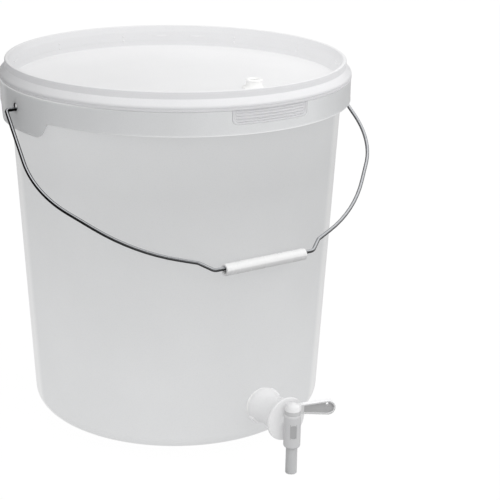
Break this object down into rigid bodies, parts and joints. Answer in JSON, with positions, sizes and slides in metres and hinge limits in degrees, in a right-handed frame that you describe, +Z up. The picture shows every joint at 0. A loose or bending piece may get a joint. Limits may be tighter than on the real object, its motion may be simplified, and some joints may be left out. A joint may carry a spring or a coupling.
{
  "type": "fermenting bucket",
  "caption": "Tapered plastic bucket with a press-on lid, airlock grommet, steel wire bail with a tube grip, and a lever tap low in the wall.",
  "frame": {"origin": "centre of the underside, in the plane that the bucket stands on", "axes": "+Z up; -Y is the front, with the pull tab of the lid and the tap; the two bail ears are on +X and -X"},
  "size_m": [0.4168, 0.4319, 0.4102],
  "materials": {
    "bucket_plastic": "milky translucent polypropylene, satin",
    "lid_plastic": "milky translucent polypropylene, satin",
    "grommet_rubber": "white silicone rubber",
    "bail_steel": "bright zinc-plated steel wire",
    "grip_plastic": "white extruded polyethylene tube",
    "tap_plastic": "natural white polypropylene moulding",
    "plug_plastic": "natural translucent polypropylene moulding",
    "lever_plastic": "white polypropylene moulding",
    "washer_rubber": "white silicone rubber"
  },
  "bodies": {
    "bucket": {"bucket_body": "bucket_plastic", "tap_body": "tap_plastic", "tap_outer_washer": "washer_rubber", "tap_inner_washer": "washer_rubber", "tap_backnut": "tap_plastic"},
    "lid": {"lid": "lid_plastic", "airlock_grommet": "grommet_rubber"},
    "bail": {"bail_wire": "bail_steel"},
    "grip": {"bail_grip": "grip_plastic"},
    "valve": {"tap_plug": "plug_plastic", "tap_lever": "lever_plastic"}
  },
  "joints": [
    {"name": "lid_lift", "type": "slide", "parent": "bucket", "child": "lid", "axis": [0, 0, 1], "range_m": [0, 0.06]},
    {"name": "bail_swing", "type": "hinge", "parent": "bucket", "child": "bail", "pos_m": [0, 0, 0.3569], "axis": [-1, 0, 0], "range_deg": [0, 256.6]},
    {"name": "grip_spin", "type": "hinge", "parent": "bail", "child": "grip", "pos_m": [0, -0.18066, 0.21263], "axis": [1, 0, 0], "continuous": true},
    {"name": "tap_turn", "type": "hinge", "parent": "bucket", "child": "valve", "pos_m": [0.01268, -0.21993, 0.0437], "axis": [0, 0, -1], "range_deg": [-28, 62]}
  ]
}
